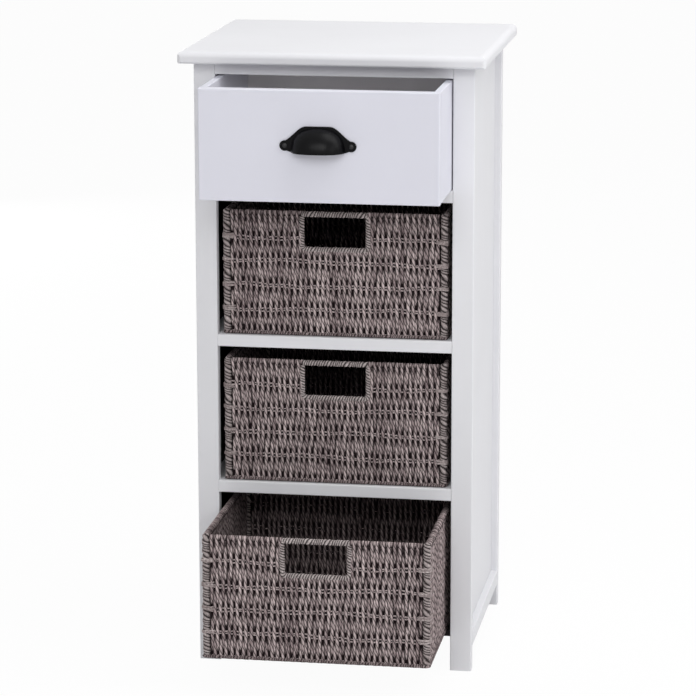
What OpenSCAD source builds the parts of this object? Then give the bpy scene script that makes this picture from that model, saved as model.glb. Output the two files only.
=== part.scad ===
// Narrow storage tower: a painted timber frame with one drawer above three
// open bays, each holding a woven basket. Millimetres, +Z up, +Y to the back.
// The front faces of the posts lie in the plane y = face_y.

/* [Frame] */
// Width of the frame over the outside of the posts
body_w = 364; // [320:1:460]
// Depth of the frame over the outside of the posts
body_d = 320; // [280:1:380]
// Width of a post, seen from the front
post_w = 28; // [24:1:40]
// Thickness of a post and of a front rail, front to back
post_t = 16; // [14:0.5:24]
// Height of every front rail, and of the back rails behind them
rail_h = 16; // [14:0.5:24]
// Height of the bottom rails of the sides and of the back
bottom_rail_h = 20; // [18:0.5:30]
// Height of the bottom panel's upper face above the floor
floor_gap = 50; // [40:1:90]
// Clear height of each of the three basket bays
bay_h = 181; // [150:1:260]
// Clear height of the drawer bay
drawer_bay_h = 144; // [110:1:200]
// Radius of the eased edges on the timber
arris_r = 1.4; // [0.6:0.1:2.5]

/* [Panels] */
// How far the side panels lie inside the outer faces of the posts
panel_recess = 9; // [6:0.5:10]
// Thickness of the side panels
side_panel_t = 4; // [3:0.5:5]
// Thickness of the shelves
shelf_t = 5; // [3:0.5:8]
// Thickness of the bottom panel
bottom_t = 8; // [3:0.5:10]
// Thickness of the back panel
back_panel_t = 3; // [2:0.5:4]
// Depth of the grooves and rebates that the panels sit in
groove_depth = 5; // [3:0.5:6]
// Play of a panel in its groove, and of a screw or dowel in its bore
groove_play = 0.2; // [0.1:0.1:0.4]
// Width of the rebates that the back panel and the bottom panel lie in
rebate_w = 8; // [6:0.5:10]

/* [Top board] */
// Thickness of the top board
top_t = 16; // [14:1:28]
// Overhang of the top board past each side of the frame
top_over_side = 16.5; // [8:0.5:30]
// Overhang of the top board past the front of the frame
top_over_front = 26; // [12:1:40]
// Overhang of the top board past the back of the frame
top_over_back = 22; // [4:1:40]
// Radius of the upper edge of the top board
top_edge_r = 8; // [3:0.5:9]
// Radius of the lower edge of the top board
top_under_r = 3; // [1:0.5:4]
// Radius of the top board's corners, seen from above
top_corner_r = 5; // [3:0.5:25]

/* [Drawer] */
// How far the drawer stands open
drawer_out = 119; // [0:1:250]
// Gap between the closed drawer and the back rails
drawer_back_gap = 6; // [2:1:80]
// Thickness of the drawer front
drawer_front_t = 15; // [12:0.5:18]
// Thickness of the drawer's sides and back
drawer_side_t = 9; // [8.5:0.5:12]
// Gap between the drawer and the posts, on each side
drawer_side_gap = 1.5; // [1:0.1:3]
// Gap between the drawer and the rail above it
drawer_top_gap = 2; // [1:0.1:3]
// Running gap between the drawer and its runners
drawer_run_gap = 0.4; // [0.3:0.1:1]
// Height of the runners' guides above their ledges
guide_h = 12; // [6:1:30]
// How far a runner's ledge reaches in past the drawer's side
ledge_in = 3; // [1:0.5:20]
// Thickness of the drawer bottom
drawer_bottom_t = 3; // [2.5:0.5:5]
// Height of the drawer bottom above the lower edge of the drawer
drawer_bottom_up = 8; // [6:0.5:14]

/* [Cup pull] */
// Distance between the two screws of the pull
pull_pitch = 84; // [64:1:110]
// Height of the pull's screws above the middle of the drawer front
pull_up = 1.5; // [-20:0.5:30]
// Length of the pull's dome along the drawer front
pull_dome_w = 70; // [50:1:84]
// Height of the pull's dome above the screws
pull_dome_h = 24; // [16:0.5:30]
// Height of the pull's dome below the screws
pull_skirt = 8; // [7:0.5:12]
// How far the pull stands out from the drawer front
pull_depth = 24; // [18:0.5:30]
// Wall of the pull
pull_t = 1.8; // [1.4:0.1:2.4]
// Radius of the pull's screw ears
pull_ear_r = 6.6; // [5.5:0.1:9]
// How far the flange rises above the dome's upper edge
pull_flange = 1.5; // [1:0.5:6]

/* [Baskets] */
// Gap between a basket and the posts, on each side
basket_side_gap = 6.5; // [3:0.5:30]
// Gap between a basket and the rail above it
basket_head_gap = 16.7; // [8:0.1:50]
// How far a pushed-in basket stands back from the front of the posts
basket_inset = 6; // [2:1:20]
// Gap between a pushed-in basket and the back rails
basket_back_gap = 8; // [3:1:90]
// How far the bottom basket is pulled out
basket_out = 157; // [0:1:250]
// Thickness of the woven walls and bottom
weave_t = 5; // [4.5:0.1:6.5]
// Diameter of the wrapped rim
rim_d = 8; // [7:0.1:9]
// Diameter of the wrapped corners
corner_d = 10; // [9:0.1:13]
// Diameter of the wrapped border round the hand hole
border_d = 7; // [6:0.1:8]
// Width of the hand hole
hole_w = 80; // [60:1:120]
// Height of the hand hole
hole_h = 38.5; // [28:0.5:60]
// Diameter of the wires inside the weave
wire_d = 2.6; // [2:0.1:3]
// Number of wire hoops between the bottom and the rim
wire_rows = 4; // [2:1:5]
// Clearance under a basket, and between its border and its weave
basket_lift = 0.3; // [0.3:0.1:1]

/* [Fixings] */
// Diameter of the dowels in the frame
dowel_d = 6; // [5:0.5:8]
// Length of the dowels in the frame
dowel_l = 26; // [20:1:28]
// Length of the dowels that hold the bottom side rails
side_dowel_l = 20; // [16:1:24]
// Diameter of the dowels in the drawer
drawer_dowel_d = 4.5; // [3:0.5:5]
// Length of the dowels in the drawer
drawer_dowel_l = 16; // [12:1:18]
// Diameter of the screws that hold the top board
top_screw_d = 4; // [3:0.5:5]
// Length of the screws that hold the top board
top_screw_l = 27; // [22:1:28]
// Diameter of the small screws in the back panel and in the pull
small_screw_d = 3; // [2.5:0.5:3.5]
// Length of the small screws
small_screw_l = 10; // [8:1:12]

/* [Hidden] */
$fn = 48;
paint = "whitesmoke";
bare_wood = "burlywood";
black_metal = "#26262a";
steel = "silver";
rope = "#8d807f";
rope_dark = "#7b706f";

// heights of the frame, from the floor up
lower_rail_z = floor_gap + bay_h;
upper_rail_z = lower_rail_z + rail_h + bay_h;
drawer_rail_z = upper_rail_z + rail_h + bay_h;
top_rail_z = drawer_rail_z + rail_h + drawer_bay_h;
frame_h = top_rail_z + rail_h;
bottom_rail_z = floor_gap - bottom_rail_h;
bottom_dowel_z = bottom_rail_z + (bottom_rail_h - groove_depth) / 2;
rail_zs = [lower_rail_z, upper_rail_z, drawer_rail_z, top_rail_z];

// places across and along the frame
half_w = body_w / 2;
open_x = half_w - post_w;
panel_x = half_w - panel_recess - side_panel_t;
back_y = body_d - post_t;
back_rail_t = post_t - back_panel_t;
inner_d = back_y - post_t;

// drawer and baskets
drawer_w = 2 * (open_x - drawer_side_gap);
drawer_z = drawer_rail_z + rail_h + drawer_run_gap;
drawer_h = top_rail_z - drawer_top_gap - drawer_z;
drawer_d = back_y - drawer_back_gap;
runner_in = drawer_side_gap + drawer_side_t + ledge_in;
pull_z = drawer_z + drawer_h / 2 + pull_up;
basket_w = 2 * (open_x - basket_side_gap);
basket_d = back_y - basket_back_gap - basket_inset;
basket_h = bay_h - basket_lift - basket_head_gap;
rim_seat = rim_d / 2 - sqrt(rim_d * rim_d - weave_t * weave_t) / 2;
wall_h = basket_h - rim_d + rim_seat;
wall_in = (rim_d - weave_t) / 2;
hole_z = basket_h - rim_d - hole_h;
wire_in = rim_d / 2;
wire_step = (basket_h - wire_in - weave_t / 2) / (wire_rows + 1);

// the frame's front plane, so that the whole object is centred on the origin
front_most = max(drawer_out + pull_depth, basket_out - basket_inset, top_over_front);
back_most = body_d + top_over_back;
face_y = (front_most - back_most) / 2;

// ---- shared shapes ----

// moves a piece drawn from the frame's front plane into the object's frame
module in_frame() translate([0, face_y, 0]) children();

// draws a piece on the right, or its mirror image on the left
module on_side(side) {
    if (side > 0) children();
    else mirror([1, 0, 0]) children();
}

// rectangle with eased corners, its lower left corner at the origin
module eased(a, b, r = arris_r) {
    translate([r, 0]) square([a - 2 * r, b]);
    translate([0, r]) square([a, b - 2 * r]);
    for (x = [r, a - r], y = [r, b - r]) translate([x, y]) circle(r);
}

// bars with eased edges along X, Y and Z
module bar_x(size) rotate([90, 0, 90]) linear_extrude(size[0]) eased(size[1], size[2]);
module bar_y(size) translate([0, size[1], 0]) rotate([90, 0, 0])
    linear_extrude(size[1]) eased(size[0], size[2]);
module bar_z(size) linear_extrude(size[2]) eased(size[0], size[1]);

// rods along X and Y, centred on the given point
module rod_x(at, d, l) translate(at) rotate([0, 90, 0]) cylinder(d = d, h = l, center = true);
module rod_y(at, d, l) translate(at) rotate([90, 0, 0]) cylinder(d = d, h = l, center = true);

// ---- top board ----

// section across the top board, l long, with its two edge radii
module top_section(l) {
    translate([top_edge_r, 0]) square([l - 2 * top_edge_r, top_t]);
    translate([0, top_under_r]) square([l, top_t - top_edge_r - top_under_r]);
    translate([top_under_r, 0]) square([l - 2 * top_under_r, top_t - top_edge_r]);
    for (x = [top_edge_r, l - top_edge_r]) translate([x, top_t - top_edge_r]) circle(top_edge_r);
    for (x = [top_under_r, l - top_under_r]) translate([x, top_under_r]) circle(top_under_r);
}

// the rounded edges of the front and the sides meet in a mitre at each corner
module top_board() {
    w = body_w + 2 * top_over_side;
    d = body_d + top_over_front + top_over_back;
    in_frame() color(paint) difference() {
        translate([-w / 2, -top_over_front, frame_h]) intersection() {
            rotate([90, 0, 90]) linear_extrude(w) top_section(d);
            translate([0, d, 0]) rotate([90, 0, 0]) linear_extrude(d) top_section(w);
            linear_extrude(top_t) eased(w, d, top_corner_r);
        }
        top_screw_bores();
    }
}

// ---- frame ----

// places of the dowels and screws that enter the posts and rails
function rail_dowels() = [
    for (s = [-1, 1], z = rail_zs) [s * open_x, post_t / 2, z + rail_h / 2],
    for (s = [-1, 1], z = rail_zs) [s * open_x, back_y + back_rail_t / 2, z + rail_h / 2],
    for (s = [-1, 1]) [s * open_x, back_y + back_rail_t / 2, bottom_dowel_z]
];
function side_dowels() = [
    for (s = [-1, 1], y = [post_t, back_y])
        [s * (panel_x + side_panel_t / 2), y, bottom_dowel_z]
];
function bay_middles() = concat([for (z = [lower_rail_z, upper_rail_z, drawer_rail_z])
    z - bay_h / 2], [top_rail_z - drawer_bay_h / 2]);
function back_screws() = [
    for (s = [-1, 1], z = bay_middles()) [s * (open_x + rebate_w / 2), z],
    for (s = [-1, 1], z = rail_zs) [s * open_x / 2, z + rail_h / 2],
    for (s = [-1, 1]) [s * open_x / 2, bottom_dowel_z]
];

module dowel_bores() {
    for (p = rail_dowels()) rod_x(p, dowel_d + groove_play, dowel_l + 2 * groove_play);
    for (p = side_dowels()) rod_y(p, dowel_d + groove_play, side_dowel_l + 2 * groove_play);
}

module back_screw_bores()
    for (p = back_screws())
        rod_y([p[0], body_d - small_screw_l / 2, p[1]], small_screw_d + groove_play,
            small_screw_l + 2 * groove_play);

module front_post(side)
    in_frame() color(paint) difference() {
        on_side(side) difference() {
            translate([open_x, 0, 0]) bar_z([post_w, post_t, frame_h]);
            side_panel_space();
        }
        dowel_bores();
    }

module back_post(side)
    in_frame() color(paint) difference() {
        on_side(side) difference() {
            translate([open_x, back_y, 0]) bar_z([post_w, post_t, frame_h]);
            side_panel_space();
            back_panel_space();
        }
        dowel_bores();
        back_screw_bores();
    }

// the room that a side panel takes in its grooves
module side_panel_space()
    translate([panel_x - groove_play / 2, post_t - groove_depth - groove_play,
        floor_gap - groove_depth - groove_play])
        cube([side_panel_t + groove_play, inner_d + 2 * (groove_depth + groove_play), frame_h]);

// the room that the back panel takes in its rebates
module back_panel_space()
    translate([-open_x - rebate_w - groove_play, body_d - back_panel_t, bottom_rail_z])
        cube([2 * (open_x + rebate_w + groove_play), back_panel_t + 1, frame_h]);

// the room that the bottom panel takes in the side rails' rebates
module bottom_panel_space()
    translate([-open_x - rebate_w - groove_play, post_t - 1, floor_gap - bottom_t])
        cube([2 * (open_x + rebate_w + groove_play), inner_d + 2, bottom_rail_h]);

module side_panel(side)
    in_frame() color(paint) on_side(side)
        translate([panel_x, post_t - groove_depth, floor_gap - groove_depth])
            cube([side_panel_t, inner_d + 2 * groove_depth, frame_h - floor_gap + groove_depth]);

module side_rail(side)
    in_frame() color(paint) difference() {
        on_side(side) difference() {
            translate([open_x, post_t, bottom_rail_z]) bar_y([post_w, inner_d, bottom_rail_h]);
            side_panel_space();
            bottom_panel_space();
        }
        dowel_bores();
    }

// rail inside the top of a side: it stops the drawer from tipping, and the
// top board is screwed to it
module top_side_rail(side)
    in_frame() color(bare_wood) difference() {
        on_side(side) translate([open_x - runner_in, post_t, top_rail_z])
            bar_y([panel_x - open_x + runner_in, inner_d, rail_h]);
        top_screw_bores();
    }

module front_rail(z)
    in_frame() color(paint) difference() {
        translate([-open_x, 0, z]) bar_x([2 * open_x, post_t, rail_h]);
        dowel_bores();
    }

module back_rail(z, h = rail_h)
    in_frame() color(bare_wood) difference() {
        translate([-open_x, back_y, z]) bar_x([2 * open_x, back_rail_t, h]);
        dowel_bores();
        back_screw_bores();
    }

module shelf(z)
    in_frame() color(paint)
        translate([-panel_x, post_t, z + rail_h - shelf_t])
            cube([2 * panel_x, inner_d, shelf_t]);

module bottom_panel()
    in_frame() color(paint)
        translate([-open_x - rebate_w, post_t, floor_gap - bottom_t])
            cube([2 * (open_x + rebate_w), inner_d, bottom_t]);

module bearer(side, z)
    in_frame() color(bare_wood) on_side(side)
        translate([open_x, post_t, z]) bar_y([panel_x - open_x, inner_d, rail_h - shelf_t]);

// L-shaped runner: the drawer's side slides on its ledge, beside its guide
module drawer_runner(side)
    in_frame() color(bare_wood) on_side(side)
        translate([open_x - runner_in, post_t + inner_d, drawer_rail_z])
            rotate([90, 0, 0]) linear_extrude(inner_d) {
                eased(panel_x - open_x + runner_in, rail_h);
                translate([runner_in, 0]) eased(panel_x - open_x, rail_h + guide_h);
            }

module back_panel()
    in_frame() color(paint) difference() {
        translate([-open_x - rebate_w, body_d - back_panel_t, bottom_rail_z])
            cube([2 * (open_x + rebate_w), back_panel_t, frame_h - bottom_rail_z]);
        back_screw_bores();
    }

// ---- fixings of the frame ----

module frame_dowels()
    in_frame() color(bare_wood) {
        for (p = rail_dowels()) rod_x(p, dowel_d, dowel_l);
        for (p = side_dowels()) rod_y(p, dowel_d, side_dowel_l);
    }

// round-headed screw, its head's seat at the origin and its tip towards -Z
module small_screw() {
    head_r = small_screw_d;
    translate([0, 0, -small_screw_l]) cylinder(d = small_screw_d, h = small_screw_l);
    intersection() {
        cylinder(r = head_r, h = head_r / 2);
        translate([0, 0, -head_r * 0.75]) sphere(head_r * 1.25);
    }
}

module back_panel_screws()
    in_frame() color(steel)
        for (p = back_screws()) translate([p[0], body_d, p[1]]) rotate([-90, 0, 0]) small_screw();

function top_screws() = [
    for (s = [-1, 1], y = [post_t + inner_d / 5, back_y - inner_d / 5])
        [s * (open_x + panel_x - runner_in) / 2, y]
];

module top_screw_bores()
    for (p = top_screws()) translate([p[0], p[1], top_rail_z]) {
        cylinder(d = top_screw_d + groove_play, h = top_screw_l + groove_play);
        translate([0, 0, -1]) cylinder(d = 2 * top_screw_d + groove_play, h = 1 + top_screw_d / 2
            + groove_play);
    }

module top_board_screws()
    in_frame() color(steel)
        for (p = top_screws()) translate([p[0], p[1], top_rail_z + groove_play]) {
            cylinder(d = top_screw_d, h = top_screw_l - groove_play);
            cylinder(d = 2 * top_screw_d, h = top_screw_d / 2);
        }

// ---- drawer ----

// moves a piece drawn on the closed drawer to where the drawer stands open
module on_drawer() in_frame() translate([0, -drawer_out, drawer_z]) children();

// the room that the drawer bottom takes in its grooves
module drawer_bottom_space(play)
    translate([-drawer_w / 2 + drawer_side_t / 2 - play, drawer_front_t - drawer_side_t / 2 - play,
        drawer_bottom_up - play / 2])
        cube([drawer_w - drawer_side_t + 2 * play,
            drawer_d - drawer_front_t + 2 * play, drawer_bottom_t + play]);

// dowels from the front into the sides, and from the sides into the back
function drawer_front_dowels() = [
    for (s = [-1, 1], k = [1, 3])
        [s * (drawer_w - drawer_side_t) / 2, drawer_front_t, drawer_h * k / 4 + drawer_bottom_up / 2]
];
function drawer_back_dowels() = [
    for (s = [-1, 1], k = [1, 3])
        [s * (drawer_w / 2 - drawer_side_t), drawer_d - drawer_side_t / 2,
            drawer_h * k / 4 + drawer_bottom_up / 2]
];

module drawer_dowel_rods(d, play) {
    for (p = drawer_front_dowels()) rod_y(p, d, drawer_dowel_l + play);
    for (p = drawer_back_dowels()) rod_x(p, d, drawer_dowel_l + play);
}

module drawer_bores() drawer_dowel_rods(drawer_dowel_d + groove_play, 2 * groove_play);

module pull_screw_bores()
    for (s = [-1, 1])
        rod_y([s * pull_pitch / 2, small_screw_l / 2 - pull_t, pull_z - drawer_z],
            small_screw_d + groove_play, small_screw_l + 2 * groove_play);

module drawer_front()
    on_drawer() color(paint) difference() {
        translate([-drawer_w / 2, 0, 0]) intersection() {
            bar_x([drawer_w, drawer_front_t, drawer_h]);
            bar_z([drawer_w, drawer_front_t, drawer_h]);
        }
        drawer_bottom_space(groove_play);
        drawer_bores();
        pull_screw_bores();
    }

module drawer_side(side)
    on_drawer() color(paint) difference() {
        on_side(side) translate([drawer_w / 2 - drawer_side_t, drawer_front_t, 0])
            bar_y([drawer_side_t, drawer_d - drawer_front_t, drawer_h]);
        drawer_bottom_space(groove_play);
        drawer_bores();
    }

module drawer_back()
    on_drawer() color(paint) difference() {
        translate([-drawer_w / 2 + drawer_side_t, drawer_d - drawer_side_t, 0])
            bar_x([drawer_w - 2 * drawer_side_t, drawer_side_t, drawer_h]);
        drawer_bottom_space(groove_play);
        drawer_bores();
    }

module drawer_bottom() on_drawer() color(paint) drawer_bottom_space(0);

module drawer_dowels() on_drawer() color(bare_wood) drawer_dowel_rods(drawer_dowel_d, 0);

// ---- cup pull ----

// half the outline of the dome seen from above, turned about its length: between an
// ellipse and a rectangle, so the dome is long and round with full shoulders
module dome_profile(half_l, r) {
    fullness = 2.5;
    polygon([for (a = [-90 : 4.5 : 90])
        [r * pow(max(0, cos(a)), 2 / fullness), sign(a) * half_l * pow(abs(sin(a)), 2 / fullness)]]);
}

// the dome's middle line lies behind the drawer front, so it is higher than deep
module dome(inset) {
    r = pull_dome_h + pull_skirt;
    intersection() {
        translate([0, r - pull_depth, -pull_skirt]) rotate([0, 90, 0])
            rotate_extrude() dome_profile(pull_dome_w / 2 - inset, r - inset);
        translate([-pull_dome_w, -2 * pull_depth, -pull_skirt - (inset ? 1 : 0)])
            cube([2 * pull_dome_w, 2 * pull_depth, 3 * pull_depth]);
    }
}

// height of the flange's upper edge at x: a cosine slope from the dome to the ears
function flange_top(x) =
    let (r = pull_dome_h + pull_skirt,
        top = sqrt(r * r - pow(r - pull_depth, 2)) - pull_skirt + pull_flange,
        low = pull_ear_r * 0.76,
        flat = pull_dome_w * 0.21,
        foot = pull_pitch / 2 + pull_ear_r * 0.76,
        u = min(1, max(0, (abs(x) - flat) / (foot - flat))))
    low + (top - low) * (1 + cos(180 * u)) / 2;

module flange_outline() {
    half = pull_pitch / 2;
    polygon(concat(
        [for (i = [-20 : 20]) [half * i / 20, flange_top(half * i / 20)]],
        [[half, -pull_ear_r * 0.8], [pull_dome_w / 2, -pull_skirt],
            [-pull_dome_w / 2, -pull_skirt], [-half, -pull_ear_r * 0.8]]));
    for (s = [-1, 1]) translate([s * half, 0]) circle(pull_ear_r);
}

module cup_pull()
    on_drawer() color(black_metal) difference() {
        translate([0, 0, pull_z - drawer_z]) difference() {
            union() {
                rotate([90, 0, 0]) linear_extrude(pull_t) flange_outline();
                dome(0);
            }
            dome(pull_t);
        }
        pull_screw_bores();
    }

module cup_pull_screws()
    on_drawer() color(steel)
        for (s = [-1, 1]) translate([s * pull_pitch / 2, -pull_t, pull_z - drawer_z])
            rotate([90, 0, 0]) small_screw();

// ---- baskets ----

// a basket is drawn with its front outer face at y = 0 and its bottom at z = 0
module at_bay(z, out)
    in_frame() translate([0, basket_inset - out, z + basket_lift]) children();

// outline of the woven walls seen from above: flat sides between round corners
module basket_plan() {
    cut = corner_d / 2;
    for (s = [0, 1]) translate([-basket_w / 2 + (s ? cut : wall_in), s ? wall_in : cut])
        square([basket_w - 2 * (s ? cut : wall_in), basket_d - 2 * (s ? wall_in : cut)]);
    for (s = [-1, 1], y = [cut, basket_d - cut])
        translate([s * (basket_w / 2 - cut), y]) circle(cut);
}

// the hand hole, made larger all round by the room for its border
module hole_space(room)
    translate([-hole_w / 2 - room, -rim_d, hole_z - room])
        cube([hole_w + 2 * room, 3 * rim_d, hole_h + rim_d + room]);

// the border: round bars down both sides of the hole and along its lower edge
module hole_border() {
    x = (hole_w + border_d) / 2;
    low = hole_z - border_d / 2;
    for (s = [-1, 1]) translate([s * x, rim_d / 2, low]) {
        cylinder(d = border_d, h = basket_h - rim_d / 2 - low);
        sphere(d = border_d);
    }
    rod_x([0, rim_d / 2, low], border_d, 2 * x);
}

module basket_weave()
    color(rope) difference() {
        linear_extrude(wall_h) basket_plan();
        translate([-basket_w / 2 + wall_in + weave_t, wall_in + weave_t, weave_t])
            cube([basket_w - 2 * (wall_in + weave_t), basket_d - 2 * (wall_in + weave_t), basket_h]);
        hole_space(border_d + basket_lift);
        wire_rods(wire_d + 2 * groove_play);
    }

// the rim, flat where it sits on the wall, with the border of the hand hole
module basket_rim()
    color(rope_dark) difference() {
        union() {
            translate([0, 0, basket_h - rim_d / 2]) hoop();
            hole_border();
        }
        difference() {
            translate([-basket_w, -basket_d, wall_h - rim_d])
                cube([2 * basket_w, 3 * basket_d, rim_d]);
            hole_space(border_d + basket_lift);
        }
        wire_rods(wire_d + 2 * groove_play);
    }

// a closed hoop of round bar, its outside flush with the basket's outside
module hoop() {
    r = corner_d / 2;
    x = basket_w / 2 - r;
    ys = [r, basket_d - r];
    for (y = [rim_d / 2, basket_d - rim_d / 2]) rod_x([0, y, 0], rim_d, 2 * x);
    for (s = [-1, 1]) {
        rod_y([s * (basket_w - rim_d) / 2, basket_d / 2, 0], rim_d, ys[1] - ys[0]);
        for (j = [0, 1]) translate([s * x, ys[j], 0])
            rotate([0, 0, s > 0 ? (j ? 0 : 270) : (j ? 90 : 180)])
                rotate_extrude(angle = 90) intersection() {
                    translate([r - rim_d / 2, 0]) circle(d = rim_d);
                    translate([0, -rim_d]) square([r, 2 * rim_d]);
                }
    }
}

// the wires: an upright in each corner, hoops between them, bars under the bottom
module wire_rods(d) {
    x = basket_w / 2 - wire_in;
    ys = [wire_in, basket_d - wire_in];
    for (s = [-1, 1], y = ys)
        translate([s * x, y, weave_t / 2 - d / 2]) cylinder(d = d, h = basket_h - wire_in
            - weave_t / 2 + d);
    for (i = [0 : wire_rows + 1]) translate([0, 0, weave_t / 2 + i * wire_step]) {
        for (s = [-1, 1]) rod_y([s * x, basket_d / 2, 0], d * 0.9, ys[1] - ys[0]);
        rod_x([0, ys[1], 0], d * 0.9, 2 * x);
    }
    difference() {
        for (i = [0 : wire_rows + 1])
            rod_x([0, ys[0], weave_t / 2 + i * wire_step], d * 0.9, 2 * x);
        hole_space(border_d + d);
    }
    for (s = [-1, 1]) rod_y([s * basket_w / 6, basket_d / 2, weave_t / 2], d * 0.8,
        ys[1] - ys[0]);
}

module basket_wires() color(steel) wire_rods(wire_d);

module basket_part(z, out, part)
    at_bay(z, out) {
        if (part == "weave") basket_weave();
        if (part == "rim") basket_rim();
        if (part == "wires") basket_wires();
    }

// ---- what is drawn ----

top_board();
front_post(-1);  // front_post_left
front_post(1);  // front_post_right
back_post(-1);  // back_post_left
back_post(1);  // back_post_right
side_panel(-1);  // side_panel_left
side_panel(1);  // side_panel_right
side_rail(-1);  // side_rail_left
side_rail(1);  // side_rail_right
top_side_rail(-1);  // top_side_rail_left
top_side_rail(1);  // top_side_rail_right
front_rail(top_rail_z);  // top_front_rail
front_rail(drawer_rail_z);  // drawer_front_rail
front_rail(upper_rail_z);  // upper_front_rail
front_rail(lower_rail_z);  // lower_front_rail
back_rail(top_rail_z);  // top_back_rail
back_rail(drawer_rail_z);  // drawer_back_rail
back_rail(upper_rail_z);  // upper_back_rail
back_rail(lower_rail_z);  // lower_back_rail
back_rail(bottom_rail_z, bottom_rail_h);  // bottom_back_rail
shelf(upper_rail_z);  // upper_shelf
shelf(lower_rail_z);  // lower_shelf
bottom_panel();
bearer(-1, upper_rail_z);  // upper_bearer_left
bearer(1, upper_rail_z);  // upper_bearer_right
bearer(-1, lower_rail_z);  // lower_bearer_left
bearer(1, lower_rail_z);  // lower_bearer_right
drawer_runner(-1);  // drawer_runner_left
drawer_runner(1);  // drawer_runner_right
back_panel();
back_panel_screws();
top_board_screws();
frame_dowels();
drawer_front();
drawer_side(-1);  // drawer_side_left
drawer_side(1);  // drawer_side_right
drawer_back();
drawer_bottom();
drawer_dowels();
cup_pull();
cup_pull_screws();
basket_part(upper_rail_z + rail_h, 0, "weave");  // basket_top_weave
basket_part(upper_rail_z + rail_h, 0, "rim");  // basket_top_rim
basket_part(upper_rail_z + rail_h, 0, "wires");  // basket_top_wires
basket_part(lower_rail_z + rail_h, 0, "weave");  // basket_middle_weave
basket_part(lower_rail_z + rail_h, 0, "rim");  // basket_middle_rim
basket_part(lower_rail_z + rail_h, 0, "wires");  // basket_middle_wires
basket_part(floor_gap, basket_out, "weave");  // basket_bottom_weave
basket_part(floor_gap, basket_out, "rim");  // basket_bottom_rim
basket_part(floor_gap, basket_out, "wires");  // basket_bottom_wires
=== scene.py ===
# Narrow white storage tower: a drawer under the top board and three woven baskets.
# Metres; every piece is made in place, in the cabinet's own frame.
import math

import bpy
import numpy as np
from mathutils import Matrix, Vector


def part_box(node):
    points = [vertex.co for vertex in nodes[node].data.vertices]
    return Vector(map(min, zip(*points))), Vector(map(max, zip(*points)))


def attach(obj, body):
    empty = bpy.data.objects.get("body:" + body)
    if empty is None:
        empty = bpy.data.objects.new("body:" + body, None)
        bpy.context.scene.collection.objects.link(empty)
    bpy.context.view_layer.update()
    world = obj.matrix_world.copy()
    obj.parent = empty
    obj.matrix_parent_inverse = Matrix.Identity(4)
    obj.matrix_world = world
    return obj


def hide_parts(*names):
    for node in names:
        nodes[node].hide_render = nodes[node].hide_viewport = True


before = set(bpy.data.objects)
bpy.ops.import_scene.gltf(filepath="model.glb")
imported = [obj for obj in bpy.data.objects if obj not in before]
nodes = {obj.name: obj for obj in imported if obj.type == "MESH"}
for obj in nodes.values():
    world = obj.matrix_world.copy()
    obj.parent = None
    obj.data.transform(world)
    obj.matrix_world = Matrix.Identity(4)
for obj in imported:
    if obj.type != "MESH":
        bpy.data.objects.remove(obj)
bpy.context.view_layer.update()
scene = bpy.context.scene
mm = 0.001
up = np.array([0, 0, 1.0])
anyPhase = (0, 6)               # radians
print("frame loaded:", len(nodes), "nodes")


# sets inputs to a value or links a socket: i0, i1 ... go by place, others by name
def fillInputs(tree, node, inputs):
    for key, value in inputs.items():
        socket = node.inputs[int(key[1:]) if key[1:].isdigit() else key.replace("_", " ")]
        if isinstance(value, bpy.types.NodeSocket):
            tree.links.new(value, socket)
        else:
            socket.default_value = value


# makes a node and hands back its outputs
def addNode(tree, kind, settings, inputs):
    node = tree.nodes.new(kind)
    for key, value in (settings or {}).items():
        setattr(node, key, value)
    fillInputs(tree, node, inputs)
    return node.outputs


# a new material, with one function that adds nodes to it and one that fills its shader
def startMaterial(name):
    material = bpy.data.materials.new(name)
    material.use_nodes = True
    tree = material.node_tree

    def add(kind, settings=None, **inputs):
        return addNode(tree, kind, settings, inputs)

    def coat(**inputs):
        fillInputs(tree, tree.nodes["Principled BSDF"], inputs)

    return material, add, coat


# blends two colours, each a value or a socket
def blend(add, factor, first, second):
    first, second = [c if isinstance(c, bpy.types.NodeSocket) else (*c, 1) for c in (first, second)]
    return add("ShaderNodeMix", {"data_type": "RGBA"}, i0=factor, i6=first, i7=second)[2]


def reckon(add, operation, *values):
    inputs = {f"i{place}": value for place, value in enumerate(values)}
    return add("ShaderNodeMath", {"operation": operation}, **inputs)[0]


def mapped(add, value, fromLow, fromHigh, toLow, toHigh):
    return add("ShaderNodeMapRange", Value=value, From_Min=fromLow, From_Max=fromHigh,
               To_Min=toLow, To_Max=toHigh)[0]


def noise(add, place, scale, detail, stretch=(1, 1, 1)):
    spread = add("ShaderNodeMapping", Vector=place, Scale=stretch)[0]
    return add("ShaderNodeTexNoise", Vector=spread, Scale=scale, Detail=detail)[0]


def bump(add, height, strength, distance):
    return add("ShaderNodeBump", Height=height, Strength=strength, Distance=distance)[0]


paint = {
    "colour": (0.800, 0.800, 0.826),
    "drawerColour": (0.750, 0.750, 0.825),
    # lighter paint inside the drawer: painted light that lifts the shade under the top board
    "insidePaintedLight": (0.90, 0.88, 0.87),
    "clouding": 0.94,           # darker patches, as a share of the colour
    "cloudScale": 7.0,
    "grainScale": 6.0,
    "grainStretch": (3, 60),    # along the grain and across it
    "grain": 0.05,              # strength of the relief
    "grainDepth": 0.6 * mm,
    "roughness": (0.42, 0.54),
    "gloss": 0.1,
}

# bare board, so dark that it is painted shade standing in for the cabinet's dark inside
board = {
    "colour": (0.018, 0.016, 0.016),
    "streaks": 1.6,             # lighter fibres, as a share of the colour
    "fibreScale": 8.0,
    "fibreStretch": (20, 4, 90),
    "fibre": 0.15,              # strength of the relief
    "fibreDepth": 0.5 * mm,
    "roughness": 0.8,
    "gloss": 0.05,
}
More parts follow.
